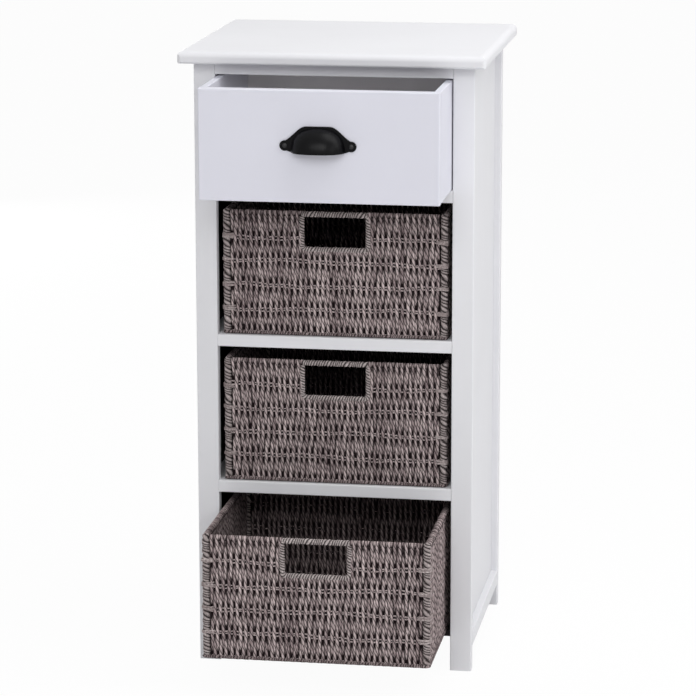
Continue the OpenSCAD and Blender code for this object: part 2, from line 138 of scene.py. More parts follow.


# satin paint with grain along one axis; what lies below or inside a limit is bare board, in near-black
# painted shade
def paintedWood(name, grainAxis, colour=paint["colour"], bareShadeAxis=None, bareShadeBelow=0.0):
    material, add, coat = startMaterial(name)
    place = add("ShaderNodeTexCoord")["Object"]
    alongGrain, acrossGrain = paint["grainStretch"]
    stretch = [alongGrain if axis == grainAxis else acrossGrain for axis in "XYZ"]
    grain = noise(add, place, paint["grainScale"], detail=4.0, stretch=stretch)
    cloud = noise(add, place, paint["cloudScale"], detail=3.0)
    shade = blend(add, cloud, colour, [c * paint["clouding"] for c in colour])
    if bareShadeAxis:
        inward = add("ShaderNodeSeparateXYZ", Vector=place)["XYZ".index(bareShadeAxis)]
        if bareShadeAxis == "X":     # left and right alike
            inward = reckon(add, "ABSOLUTE", inward)
        # the bare side gets the near-black board colour as painted shade
        shade = blend(add, reckon(add, "LESS_THAN", inward, bareShadeBelow), shade, board["colour"])
    coat(Base_Color=shade, Roughness=mapped(add, grain, 0, 1, *paint["roughness"]),
         Specular_IOR_Level=paint["gloss"], Normal=bump(add, grain, paint["grain"], paint["grainDepth"]))
    return material


# bare board in near-black painted shade, with lighter fibres
def bareBoardPaintedShade(name):
    material, add, coat = startMaterial(name)
    place = add("ShaderNodeTexCoord")["Object"]
    fibre = noise(add, place, board["fibreScale"], detail=5.0, stretch=board["fibreStretch"])
    streaked = [c * board["streaks"] for c in board["colour"]]
    coat(Base_Color=blend(add, fibre, board["colour"], streaked), Roughness=board["roughness"],
         Specular_IOR_Level=board["gloss"], Normal=bump(add, fibre, board["fibre"], board["fibreDepth"]))
    return material


metal = {
    "black_pull": {"colour": (0.0012, 0.0012, 0.0016), "roughness": 0.30, "peelScale": 900.0, "gloss": 0.11},
    "pull_screw": {"colour": (0.012, 0.012, 0.013), "roughness": 0.45, "peelScale": 1500.0, "gloss": 0.35},
    "dull_screw": {"colour": (0.30, 0.30, 0.31), "roughness": 0.42, "peelScale": 1500.0, "gloss": 0.5},
    "basket_wire": {"colour": (0.014, 0.010, 0.011), "roughness": 0.6, "peelScale": 700.0, "gloss": 0.2},
}

metalWear = {
    "scale": 90.0,
    "lighter": 1.7,             # worn spots, as a share of the colour
    "roughness": (-0.06, 0.08),
    "peel": 0.08,
    "peelDepth": 0.3 * mm,
}


# metal with a worn tone and a fine orange-peel surface
def coatedMetal(name):
    material, add, coat = startMaterial(name)
    look = metal[name]
    place = add("ShaderNodeTexCoord")["Object"]
    wear = noise(add, place, metalWear["scale"], detail=4.0)
    peel = noise(add, place, look["peelScale"], detail=2.0)
    worn = [c * metalWear["lighter"] for c in look["colour"]]
    rough = [look["roughness"] + more for more in metalWear["roughness"]]
    coat(Base_Color=blend(add, wear, look["colour"], worn), Roughness=mapped(add, wear, 0, 1, *rough),
         Specular_IOR_Level=look["gloss"], Normal=bump(add, peel, metalWear["peel"], metalWear["peelDepth"]))
    return material


twist = {
    "paper_rope": {
        "light": (0.73, 0.61, 0.602),
        "dark": (0.235, 0.178, 0.182),
        "ridges": 3.0,
        "furrow": 0.12,         # how much colour the painted shade in a furrow of the twist leaves
    },
    "wrapped_rope": {
        "light": (0.74, 0.66, 0.645),
        "dark": (0.36, 0.30, 0.295),
        "ridges": 1.0,
        "furrow": 0.8,
    },
}

paper = {
    "deep": (0.009, 0.005, 0.006),      # painted shade in furrows and behind other strands
    "foldScale": 650.0,         # fine folds of the paper, drawn out along the height
    "foldStretch": (1, 1, 0.35),
    "foldTone": 2.2,
    "patchScale": 130.0,
    "patchStretch": (1, 1, 0.5),
    "patchTone": 0.9,
    "darkToLight": (1.25, 2.6),         # sums of the tones at which it is dark and light
    "furrowEdge": -0.2,         # value of the sine at which a furrow begins
    "foldHeight": 0.6,
    "bump": 0.7,
    "bumpDepth": 0.4 * mm,
    "roughness": 0.82,
    "gloss": 0.05,
}


# twisted paper: furrows wind round by the piece's UV as sin(tau * (ridges * u + v)) and hold painted shade;
# folds, patches and each strand's own tone choose between dark and light; a second attribute adds painted
# shade on top
def paperRope(name):
    material, add, coat = startMaterial(name)
    look = twist[name]
    place = add("ShaderNodeTexCoord")
    uv = add("ShaderNodeSeparateXYZ", Vector=place["UV"])
    turned = reckon(add, "MULTIPLY_ADD", uv[0], look["ridges"], uv[1])
    ridge = reckon(add, "SINE", reckon(add, "MULTIPLY", turned, math.tau))
    fold = noise(add, place["Object"], paper["foldScale"], detail=2.0, stretch=paper["foldStretch"])
    patch = noise(add, place["Object"], paper["patchScale"], detail=3.0, stretch=paper["patchStretch"])
    tone = add("ShaderNodeAttribute", {"attribute_name": "tone"})["Fac"]
    depth = add("ShaderNodeAttribute", {"attribute_name": "depth"})["Fac"]
    tone = reckon(add, "MULTIPLY_ADD", patch, paper["patchTone"], tone)
    tone = reckon(add, "MULTIPLY_ADD", fold, paper["foldTone"], tone)
    shade = blend(add, mapped(add, tone, *paper["darkToLight"], 0, 1), look["dark"], look["light"])
    # painted shade in the furrows of the twist, then the shade attribute on top
    furrow = mapped(add, ridge, -1.0, paper["furrowEdge"], look["furrow"], 1.0)
    shade = blend(add, furrow, paper["deep"], shade)
    height = reckon(add, "MULTIPLY_ADD", fold, paper["foldHeight"], ridge)
    coat(Base_Color=blend(add, depth, shade, paper["deep"]), Roughness=paper["roughness"],
         Specular_IOR_Level=paper["gloss"], Normal=bump(add, height, paper["bump"], paper["bumpDepth"]))
    return material


panelLow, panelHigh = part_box("side_panel_right")
backLow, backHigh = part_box("back_panel")
panelMiddle = (panelLow.x + panelHigh.x) / 2
backMiddle = (backLow.y + backHigh.y) / 2
strandRope = paperRope("paper_rope")
wrapRope = paperRope("wrapped_rope")
innerBoardPaintedShade = bareBoardPaintedShade("bare_board_painted_shade")
finishes = {}
for material, names in (
    (paintedWood("paint_along_rails", "X"),
     ("top_board", "top_front_rail", "drawer_front_rail", "upper_front_rail", "lower_front_rail",
      "bottom_back_rail")),
    (paintedWood("paint_along_posts", "Z"),
     ("front_post_left", "front_post_right", "back_post_left", "back_post_right")),
    (paintedWood("paint_along_sides", "Y"), ("side_rail_left", "side_rail_right")),
    # the panels' inner faces are bare board in painted shade
    (paintedWood("paint_side_panel", "Z", bareShadeAxis="X", bareShadeBelow=panelMiddle),
     ("side_panel_left", "side_panel_right")),
    (paintedWood("paint_back_panel", "Z", bareShadeAxis="Y", bareShadeBelow=backMiddle), ("back_panel",)),
    (paintedWood("paint_drawer_front", "X", paint["drawerColour"]), ("drawer_front",)),
    (paintedWood("paint_drawer_sides", "Y", paint["drawerColour"]),
     ("drawer_side_left", "drawer_side_right")),
    # the drawer's inside in a lighter paint, as painted light
    (paintedWood("paint_inside_drawer_painted_light", "X", paint["insidePaintedLight"]), ("drawer_back", "drawer_bottom")),
    (coatedMetal("black_pull"), ("cup_pull",)),
    (coatedMetal("pull_screw"), ("cup_pull_screws",)),
    (coatedMetal("dull_screw"), ("back_panel_screws", "top_board_screws")),
    (coatedMetal("basket_wire"), ("basket_top_wires", "basket_middle_wires", "basket_bottom_wires")),
):
    finishes.update(dict.fromkeys(names, material))
for name in ("upper_shelf", "lower_shelf"):     # painted above, bare below in painted shade
    shelfLow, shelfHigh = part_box(name)
    shelfMiddle = (shelfLow.z + shelfHigh.z) / 2
    finishes[name] = paintedWood("paint_" + name, "X", bareShadeAxis="Z", bareShadeBelow=shelfMiddle)
print("materials made")

for name, solid in nodes.items():
    # every solid without a finish of its own is bare board in painted shade
    material = finishes.get(name, innerBoardPaintedShade)
    if not solid.material_slots:
        solid.data.materials.append(material)
    for slot in solid.material_slots:
        slot.material = material
print("solids finished")


# one smooth mesh from the arrays of all its parts, on its body and in its material
def putPiece(name, parts, body, material):
    starts = np.cumsum([0] + [len(part["points"]) for part in parts])
    points = np.concatenate([part["points"] for part in parts])
    quads = np.concatenate([part["quads"] + start for part, start in zip(parts, starts)])
    uvs = np.concatenate([part["uvs"] for part in parts])
    mesh = bpy.data.meshes.new(name)
    mesh.vertices.add(len(points))
    mesh.vertices.foreach_set("co", points.astype(np.float32).ravel())
    mesh.loops.add(quads.size)
    mesh.loops.foreach_set("vertex_index", quads.astype(np.int32).ravel())
    mesh.polygons.add(len(quads))
    mesh.polygons.foreach_set("loop_start", np.arange(len(quads), dtype=np.int32) * 4)
    mesh.polygons.foreach_set("use_smooth", np.ones(len(quads), bool))
    mesh.uv_layers.new(name="UVMap").data.foreach_set("uv", uvs.astype(np.float32).ravel())
    for key in ("depth", "tone"):
        values = np.concatenate([part[key] for part in parts])
        mesh.attributes.new(key, "FLOAT", "POINT").data.foreach_set("value", values.astype(np.float32))
    mesh.update(calc_edges=True)
    mesh.validate()
    mesh.materials.append(material)
    piece = bpy.data.objects.new(name, mesh)
    scene.collection.objects.link(piece)
    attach(piece, body)
    print(name, len(quads) * 2, "triangles")
    return piece


# tubes along many paths at once: point = centre + side * wide * cos(t) + normal * thick * sin(t)
# centre is (paths, rings, 3), wide and thick broadcast to (paths, rings, sides)
def tubes(centre, side, normal, wide, thick, turns, depth, tone, sides=8, closed=False):
    paths, rings, _ = centre.shape
    t = np.arange(sides) * math.tau / sides
    shape = (paths, rings, sides)
    sideways = np.broadcast_to(wide * np.cos(t), shape)[..., None]
    outwards = np.broadcast_to(thick * np.sin(t), shape)[..., None]
    points = (centre[:, :, None] + np.broadcast_to(side, centre.shape)[:, :, None] * sideways
              + np.broadcast_to(normal, centre.shape)[:, :, None] * outwards)
    number = np.arange(paths * rings * sides).reshape(shape)
    here, ahead = (number, np.roll(number, -1, 1)) if closed else (number[:, :-1], number[:, 1:])
    quads = np.stack([here, np.roll(here, -1, 2), np.roll(ahead, -1, 2), ahead], -1).reshape(-1, 4)
    v = np.concatenate([turns, 2 * turns[:, -1:] - turns[:, -2:-1]], 1) if closed else turns
    low = np.repeat(v[:, :-1, None], sides, 2)
    high = np.repeat(v[:, 1:, None], sides, 2)
    left = np.broadcast_to(np.arange(sides) / sides, low.shape)
    right = left + 1 / sides
    uvs = np.stack([left, low, right, low, right, high, left, high], -1).reshape(-1, 8)
    if not closed:      # quads across the first and the last ring close the ends
        k = np.arange(sides // 2 - 1)
        for ring, turn in ((number[:, 0], -1), (number[:, -1], 1)):
            cap = np.stack([ring[:, k], ring[:, k + 1], ring[:, sides - 2 - k], ring[:, sides - 1 - k]], -1)
            quads = np.concatenate([quads, cap[..., ::turn].reshape(-1, 4)])
        uvs = np.concatenate([uvs, np.zeros((len(quads) - len(uvs), 8))])
    return {"points": points.reshape(-1, 3), "quads": quads, "uvs": uvs,
            "depth": np.broadcast_to(depth, shape).ravel(), "tone": np.broadcast_to(tone, shape).ravel()}


# unevenness along a length: amount * sin(rate * distance + phase), rate in radians per metre
def ripple(amountAndRate, distance, phase):
    amount, rate = amountAndRate
    return amount * np.sin(rate * distance + phase)


basket = {
    "inset": 4.0 * mm,          # from the outside to the middle of a wall
    "rows": 5,
    "rowLow": 2.5 * mm,         # height of the lowest wire
    "rowSway": ((1.3 * mm, 19), (0.78 * mm, 47)),   # how the rows rise and fall along a wall
    "rowShift": (1.9, 2.6),     # and how that changes from row to row
    "cornerRoom": 10.6 * mm,    # from a corner to the first strand
    "holeHalf": 40.0 * mm,
    "holeBottom": 117.5 * mm,
}

strand = {
    "across": {"top": 76, "middle": 76, "bottom": 74},      # at the front and the back
    "wave": 1.15 * mm,          # how far a strand swings out over a wire
    "waveRipple": (0.14, 70),
    "thick": 1.8 * mm,          # half of it, as all thicknesses and widths of strands here
    "wideFront": 2.45 * mm,     # over a wire
    "wideCrossing": 1.95 * mm,  # between two wires
    "widePower": 1.2,
    "sizes": (0.97, 1.11),
    "sizeRipple": (0.07, 150),
    "twist": 9.0 * mm,          # from furrow to furrow
    "foot": 1.5 * mm,           # height of the lower end
    "scatter": 0.28 * mm,       # of the strands along the wall
    "heightScatter": 1.1 * mm,  # of the places where they pass over the wires
    "calmEnds": 15 * mm,        # the stretch in which the rows' unevenness fades
    "wander": (0.32 * mm, 80),
    "shiver": (0.16 * mm, 190),
    "bow": 2.6 * mm,            # radius at which a strand goes over the rim
    "holeBow": 0.6 * mm,        # the same inside the hand hole's border
    "bowStart": 7 * mm,         # below the rim
    "bowWidths": (1.0, 0.85, 0.7),      # of a strand from outside, from inside, and at its tip
    "meshes": ((46, 12), (30, 8), (34, 8)),     # rings and sides at the front, the back and the sides
    "tones": (0, 0.8),
    # painted shade of a strand, capped at darkest: at its edges, behind its neighbours, inside the basket
    # and over the rim
    "darkest": 0.99,
    "edgeShade": 0.97,
    "edgePower": 2.6,
    "facing": 1.5,              # how sharply the outside's painted shade turns into the inside's
    "behindShade": 3.0,          # how fast painted shade darkens a strand as it swings back
    "behindFrom": 0.32,
    "rimReach": 9 * mm,         # how far below the rim that painted shade eases
    "rimLight": 0.6,
    "insideShade": 0.3,
    "overShade": (0, 0, 0, 0, 0.15, 0.5, 0.8),                   # painted shade along the bow from this side
    "underShade": (0.6, 0.5, 0.3, 0.12, 0.12, 0.3, 0.7),         # and from the other side
    "tipShade": 0.95,
}


# height by which one row of wire in a wall rises and falls at s along it
def sway(phases, row, s):
    slow, quick = basket["rowSway"]
    slowShift, quickShift = basket["rowShift"]
    return ripple(slow, s, phases[0] + slowShift * row) + ripple(quick, s, phases[1] + quickShift * row)


# strands of one wall: strand k swings out by wave * cos(pi * (height - rowLow) / rowStep + pi * k),
# is widest where it passes over a wire, and ends in a bow over the rim
def wallStrands(rng, phases, origin, outward, length, count, tops, rowStep, rings, sides):
    k = np.arange(count)
    along = np.cross(outward, up)
    s0 = (k + 0.5) * length / count - length / 2 + rng.normal(0, strand["scatter"], count)
    tops = np.broadcast_to(tops, count)[:, None]
    z = strand["foot"] + (tops - strand["foot"]) * np.linspace(0, 1, rings)
    row = (z - basket["rowLow"]) / rowStep
    late = sway(phases, np.round(row), s0[:, None]) + rng.normal(0, strand["heightScatter"], (count, 1))
    late *= np.clip(np.minimum(z, tops - z) / strand["calmEnds"], 0, 1)
    swing = np.cos(math.pi * (row - late / rowStep + k[:, None]))
    bend = rng.uniform(0, math.tau, (3, count, 1))
    out = strand["wave"] * swing * (1 + ripple(strand["waveRipple"], z, bend[2]))
    size = rng.uniform(*strand["sizes"], (count, 1)) * (1 + ripple(strand["sizeRipple"], z, bend[0]))
    swell = strand["wideFront"] - strand["wideCrossing"]
    wide = (strand["wideCrossing"] + swell * np.abs(swing) ** strand["widePower"]) * size
    # painted shade where a strand swings back behind a wire, on its outside and its inside, eased near the
    # rim
    lit = 1 - strand["rimLight"] * np.clip(1 - (tops - z) / strand["rimReach"], 0, 1)
    outer, inner = [
        np.clip(strand["behindShade"] * (way * swing - strand["behindFrom"]), 0, strand["darkest"]) * lit
        for way in (-1, 1)
    ]

    # the bow over the rim: out = flip * bow * cos(a), height = top + bow * sin(a); a strand that
    # ends under the hand hole keeps a tiny bow inside the hole's border
    flip = np.where((k + basket["rows"]) % 2, -1.0, 1.0)[:, None]
    bow = np.where(tops < np.max(tops) - mm, strand["holeBow"], strand["bow"])
    a = np.radians(np.linspace(0, 180, 7))

    # joins the values up the wall, over the bow and at the tip, which points down again
    def overRim(upWall, onBow, atTip):
        onBow, atTip = np.broadcast_to(onBow, (count, len(a))), np.broadcast_to(atTip, (count, 1))
        return np.concatenate([upWall[:, :-1], onBow, atTip], 1)

    out = out + (flip * bow - out) * np.clip(1 - (tops - z) / strand["bowStart"], 0, 1) ** 2
    out = overRim(out, flip * bow * np.cos(a), -flip * bow)
    z = overRim(z, tops + bow * np.sin(a), tops - bow)
    outside, inside, tip = strand["bowWidths"]
    wide = overRim(wide, wide[:, -1:] * np.where(flip > 0, outside, inside), wide[:, -1:] * tip)
    # the painted shade goes on over the bow and to the tip
    over, under = strand["overShade"], strand["underShade"]
    outer = overRim(outer, np.where(flip > 0, over, under), strand["tipShade"])[..., None]
    inner = overRim(inner, np.where(flip < 0, over, under), strand["tipShade"])[..., None]
    s = s0[:, None] + ripple(strand["wander"], z, bend[0]) + ripple(strand["shiver"], z, bend[1])
    centre = origin + along * s[..., None] + outward * out[..., None] + up * z[..., None]
    lean = np.concatenate([np.zeros(rings - 1), a, [math.pi]])[None, :, None]
    normal = outward * np.cos(lean) * flip[..., None] + up * np.sin(lean)

    # painted shade darkens a strand along its two edges, where it lies behind its neighbours, and inside the
    # basket
    t = np.arange(sides) * math.tau / sides
    edge = strand["edgeShade"] * np.abs(np.cos(t)) ** strand["edgePower"]
    facing = np.clip(0.5 + strand["facing"] * np.sin(t) * np.cos(lean) * flip[..., None], 0, 1)
    depth = edge + outer * facing + (inner + strand["insideShade"]) * (1 - facing)
    turns = z / strand["twist"] + rng.uniform(0, 1, (count, 1))
    tone = rng.uniform(*strand["tones"], (count, 1, 1))
    return tubes(centre, along * flip[..., None], normal, wide[..., None], strand["thick"], turns,
                 np.clip(depth, 0, strand["darkest"]), tone, sides)


cord = {
    "radius": 1.0 * mm,
    "gap": 2.1 * mm,            # from a wire up and down to its two cords
    "gapShare": 0.8,
    "gapRipple": (0.3, 140),
    "out": 0.5 * mm,            # from the middle of the wall
    "outRipple": (0.35 * mm, 400),
    "reach": 3 * mm,            # past the strands at both ends of a wall
    "rings": 60,
    "twist": 3.5 * mm,
    "tone": 1.1,
}


# two thin cords along every wire of one wall, shown in the gaps between its strands: a cord runs
# gap above or below its wire, whose row sways, and a little outside the middle of the wall
def wallCords(rng, phases, origin, outward, spans):
    along = np.cross(outward, up)
    parts = []
    for low, high, row, height in spans:
        s = np.linspace(low, high, cord["rings"])
        for side in (-1, 1):
            gap = cord["gap"] * (cord["gapShare"] + ripple(cord["gapRipple"], s, rng.uniform(*anyPhase)))
            z = height + sway(phases, row, s) + side * gap
            out = cord["out"] + ripple(cord["outRipple"], s, rng.uniform(*anyPhase))
            centre = origin + along * s[:, None] + outward * out[:, None] + up * z[:, None]
            parts.append(tubes(centre[None], outward, up, cord["radius"], cord["radius"],
                               s[None] / cord["twist"], depth=0.0, tone=cord["tone"], sides=6))
    return parts


# the four walls, with the basket's front first; the strands under the hand hole end at its border
def weaveWalls(rng, box, rimMiddle, count, rowStep, rows, holeSide, holeLow):
    x, y0, y1, z0 = box
    wideLength = 2 * (x - basket["cornerRoom"])
    deepLength = y1 - y0 - 2 * basket["cornerRoom"]
    deepCount = 2 * round(count * deepLength / wideLength / 2)
    middle = (y0 + y1) / 2
    inset = basket["inset"]
    across = (np.arange(count) + 0.5) * wideLength / count - wideLength / 2
    frontTops = np.where(np.abs(across) < holeSide, holeLow, rimMiddle)
    frontMesh, backMesh, sideMesh = strand["meshes"]
    walls = [
        ((0, y0 + inset), (0, -1.0), wideLength, count, frontTops, frontMesh),
        ((0, y1 - inset), (0, 1.0), wideLength, count, rimMiddle, backMesh),
        ((x - inset, middle), (1.0, 0), deepLength, deepCount, rimMiddle, sideMesh),
        ((inset - x, middle), (-1.0, 0), deepLength, deepCount, rimMiddle, sideMesh),
    ]
    strands, cords = [], []
    for place, outward, length, number, tops, mesh in walls:
        origin, outward = np.array([*place, z0]), np.array([*outward, 0])
        phases = rng.uniform(0, math.tau, 2)
        strands.append(wallStrands(rng, phases, origin, outward, length, number, tops, rowStep, *mesh))
        half = length / 2 + cord["reach"]
        spans = [(-half, half, row, height) for row, height in enumerate(rows, 1)]
        if tops is frontTops:       # the top row stops at the hand hole
            row, height = len(rows), rows[-1]
            spans[-1:] = [(-half, -holeSide, row, height), (holeSide, half, row, height)]
        cords += wallCords(rng, phases, origin, outward, spans)
    return strands, cords


wrap = {
    "ringsPerTurn": 9,
    "waves": (21 * mm, 34 * mm, 12 * mm),       # lengths of the unevenness
    "drift": (0.32, 0.3),       # of the turns, by the first two waves
    "openDrift": 0.5,           # share of it in a rope with plain ends
    "swell": (0.05, 0.04),      # of the radius, by the last wave and twice the first
    "fattest": 1.04,
    "dipPower": 0.8,
    "thinnest": 0.03,           # share of the section that is left at a round end
    "gapShade": 2.2,             # painted shade between two turns
    "gapPower": 1.3,
    "darkest": 0.96,
    "tones": (0, 0.5),
}


# rope wound round a path; between turns the radius dips by groove * (1 - |sin(pi * w)|), where
# w = distance / pitch + starts * angle / tau, with a slow drift
def coil(rng, path, side, radius, pitch, groove, starts=1, sides=12, closed=False, roundEnds=0.0, fibres=2):
    points = np.concatenate([path, path[:1]]) if closed else path
    sideAll = np.concatenate([side, side[:1]]) if closed else side
    along = np.concatenate([[0], np.cumsum(np.linalg.norm(np.diff(points, axis=0), axis=1))])
    length = along[-1]
    turnCount = max(3, round(length / pitch))
    s = np.linspace(0, length, turnCount * wrap["ringsPerTurn"] + (0 if closed else 1), endpoint=not closed)
    centre = np.stack([np.interp(s, along, points[:, axis]) for axis in range(3)], -1)
    across = np.stack([np.interp(s, along, sideAll[:, axis]) for axis in range(3)], -1)
    ahead = np.roll(centre, -1, 0) - np.roll(centre, 1, 0) if closed else np.gradient(centre, axis=0)
    ahead /= np.linalg.norm(ahead, axis=1, keepdims=True)
    across -= ahead * (across * ahead).sum(1, keepdims=True)
    across /= np.linalg.norm(across, axis=1, keepdims=True)

    # whole waves, so that a closed rope meets itself
    wave1, wave2, wave3 = [math.tau * s / length * round(length / wave) for wave in wrap["waves"]]
    phase1, phase2, phase3, phase4 = rng.uniform(*anyPhase, 4)
    drift1, drift2 = wrap["drift"]
    drift = drift1 * np.sin(wave1 + phase1) + drift2 * np.sin(wave2 + phase2)
    turns = s / length * turnCount + drift * (1 if closed or roundEnds else wrap["openDrift"])
    w = turns[:, None] + starts * np.arange(sides) / sides
    dip = 1 - np.abs(np.sin(math.pi * w)) ** wrap["dipPower"]
    swell1, swell2 = wrap["swell"]
    size = 1 + swell1 * np.sin(wave3 + phase3) + swell2 * np.sin(2 * wave1 + phase4)
    r = radius * np.minimum(size, wrap["fattest"])[:, None] - groove * dip
    if roundEnds:
        near = np.clip(np.minimum(s, length - s) / roundEnds, 0, 1)
        r = r * np.sqrt(np.clip(1 - (1 - near) ** 2, wrap["thinnest"], 1))[:, None]
    turnTone = rng.uniform(*wrap["tones"], turnCount + 2)[np.clip(np.floor(w).astype(int), 0, turnCount + 1)]
    # painted shade in the dips between the turns
    depth = np.clip(wrap["gapShade"] * dip ** wrap["gapPower"], 0, wrap["darkest"])
    part = tubes(centre[None], across[None], np.cross(ahead, across)[None], r[None], r[None], turns[None],
                 depth[None], turnTone[None], sides, closed)
    part["uvs"] = part["uvs"] * ([fibres * starts, fibres] * 4)     # the fibres follow the wraps
    return part


# closed path round a rectangle with round corners, anticlockwise from above, with its outward side:
# each corner is middle + radius * (cos(a), sin(a)) through a quarter turn
def roundedRectangle(x, y0, y1, z, radius):
    a = np.radians(np.linspace(0, 90, 6))[None] + np.radians([[-90], [0], [90], [180]])
    middles = np.array([[x - radius, y0 + radius], [x - radius, y1 - radius],
                        [radius - x, y1 - radius], [radius - x, y0 + radius]])
    side = np.stack([np.cos(a), np.sin(a), 0 * a], -1)
    path = side * radius + np.concatenate([middles, np.full((4, 1), z)], 1)[:, None]
    return path.reshape(-1, 3), side.reshape(-1, 3)


bottom = {
    "wide": 2.3 * mm,
    "thick": 1.3 * mm,
    "wave": 0.9 * mm,
    "waves": 3,                 # from the front to the back
    "height": 2.5 * mm,         # of the strands' middles
    # painted shade of the bottom strands: at their edges, all over, and where they dip under a wire
    "edgeShade": 0.9,
    "edgePower": 4,
    "dark": 0.15,
    "swingShade": 0.25,
    "rollRadius": 2.2 * mm,
    "rollPitch": 3.4 * mm,
    "rollGroove": 0.4 * mm,
    "rollCorner": 3.2 * mm,
    "rollIn": (1.5 * mm, 1.2 * mm),     # from the sides and from the ends
    "endRoom": 3 * mm,
    "mesh": (25, 8),            # rings and sides
}


# strands from front to back, height + wave * cos(tau * waves * way + pi * k) over and under the
# bottom wires, and the roll round them
def weaveBottom(rng, box, count):
    x, y0, y1, z0 = box
    rings, sides = bottom["mesh"]
    k = np.arange(count)[:, None]
    v = np.linspace(y0 + bottom["endRoom"], y1 - bottom["endRoom"], rings) * np.ones_like(k)
    swing = np.cos(math.tau * bottom["waves"] * (v - y0) / (y1 - y0) + math.pi * k)
    across = ((k + 0.5) / count * 2 - 1) * (x - basket["inset"]) + 0 * v
    centre = np.stack([across, v, z0 + bottom["height"] + bottom["wave"] * swing], -1)
    t = np.arange(sides) * math.tau / sides
    # painted shade at the strands' edges, all over, and where they dip under a wire
    edge = bottom["edgeShade"] * np.abs(np.sin(t)) ** bottom["edgePower"]
    depth = np.clip(bottom["dark"] - bottom["swingShade"] * swing[..., None] + edge, 0, strand["darkest"])
    tone = rng.uniform(*strand["tones"], (count, 1, 1))
    base = tubes(centre, up, np.array([1.0, 0, 0]), bottom["thick"], bottom["wide"], v / strand["twist"],
                 depth, tone, sides)
    r = bottom["rollRadius"]
    inX, inY = bottom["rollIn"]
    path, side = roundedRectangle(x - inX, y0 + inY, y1 - inY, z0 + r, bottom["rollCorner"])
    return [base, coil(rng, path, side, r, bottom["rollPitch"], bottom["rollGroove"], sides=8, closed=True)]


post = {
    "radius": 4.8 * mm,
    "pitch": 4.6 * mm,
    "groove": 1.3 * mm,
    "proud": 1.2 * mm,          # above the rim
    "foot": 0.2 * mm,
    "roundEnds": 4 * mm,        # the length over which an end closes
}

tie = {
    "radius": 0.95 * mm,
    "apart": 1.9 * mm,          # height from cord to cord
    "firstStrand": 1.9 * mm,    # from the edge of the weave to its first strand
    "start": 3.4 * mm,          # past that strand, where a cord comes out of the wall
    "climb": (1.9 * mm, 0.9 * mm),      # past it and under its face, on the way up
    "overFace": 0.5 * mm,
    "beside": 1.5 * mm,         # from the post's middle to where the elbow begins
    "offPost": (0.3 * mm, 0.4 * mm),    # there and round the elbow
    "rowScatter": 1.5 * mm,
    "slope": 1.1 * mm,
    "unevenness": 0.2 * mm,
    "turns": 9,
    "tones": (-0.5, 0.3),
}


# two or three cords at each row, from the first strand of one wall round the corner post to the
# next wall: an arm from beside that strand and over it, an elbow (r * -sin(a), r * cos(a)) round
# the post, and the same arm on the next wall
def cornerTies(rng, middle, outX, outY, heights):
    r = post["radius"]
    strandOut = r - basket["inset"] + strand["wave"] + strand["thick"]
    first = basket["cornerRoom"] - r + tie["firstStrand"]
    past, under = tie["climb"]
    offArm, offElbow = tie["offPost"]
    arm = np.array([[first + tie["start"], 0], [first + past, strandOut - under],
                    [first, strandOut + tie["overFace"]], [first / 2, r], [tie["beside"], r + offArm]])
    a = np.radians([15, 30, 45, 60, 75])
    elbow = (r + offElbow) * np.stack([-np.sin(a), np.cos(a)], -1)
    path = np.concatenate([arm * [-outX, outY], elbow * [-outX, outY], arm[::-1, ::-1] * [outX, -outY]])
    ahead = np.gradient(path, axis=0)
    ahead /= np.linalg.norm(ahead, axis=1, keepdims=True)
    side = np.stack([-ahead[:, 1], ahead[:, 0], 0 * ahead[:, 0]], -1)
    turns = np.linspace(0, tie["turns"], len(path))
    parts = []
    for height in heights:
        height = height + rng.uniform(-1, 1) * tie["rowScatter"]
        for step in (-1, 0, 1)[rng.integers(0, 2):]:
            slope = rng.uniform(-1, 1) * tie["slope"] * np.linspace(-1, 1, len(path))
            uneven = rng.normal(0, tie["unevenness"], len(path))
            z = middle[2] + height + step * tie["apart"] + slope + uneven
            parts.append(tubes(np.column_stack([path + middle[:2], z])[None], side[None], up, tie["radius"],
                               tie["radius"], turns[None], depth=0.0, tone=rng.uniform(*tie["tones"])))
    return parts


border = {
    "radius": 3.5 * mm,
    "pitch": 3.6 * mm,
    "groove": 1.1 * mm,
    "bend": 6 * mm,
    "topRoom": 3 * mm,          # from the top down to its two ends
    "tone": 0.35,               # lighter than the corner posts, as is the rim
}

rimWrap = {
    "radius": 3.9 * mm,
    "pitch": 3.4 * mm,
    "groove": 1.2 * mm,
    "roundEnds": 2 * mm,
    "past": 1 * mm,             # the border's middle, at both ends
}


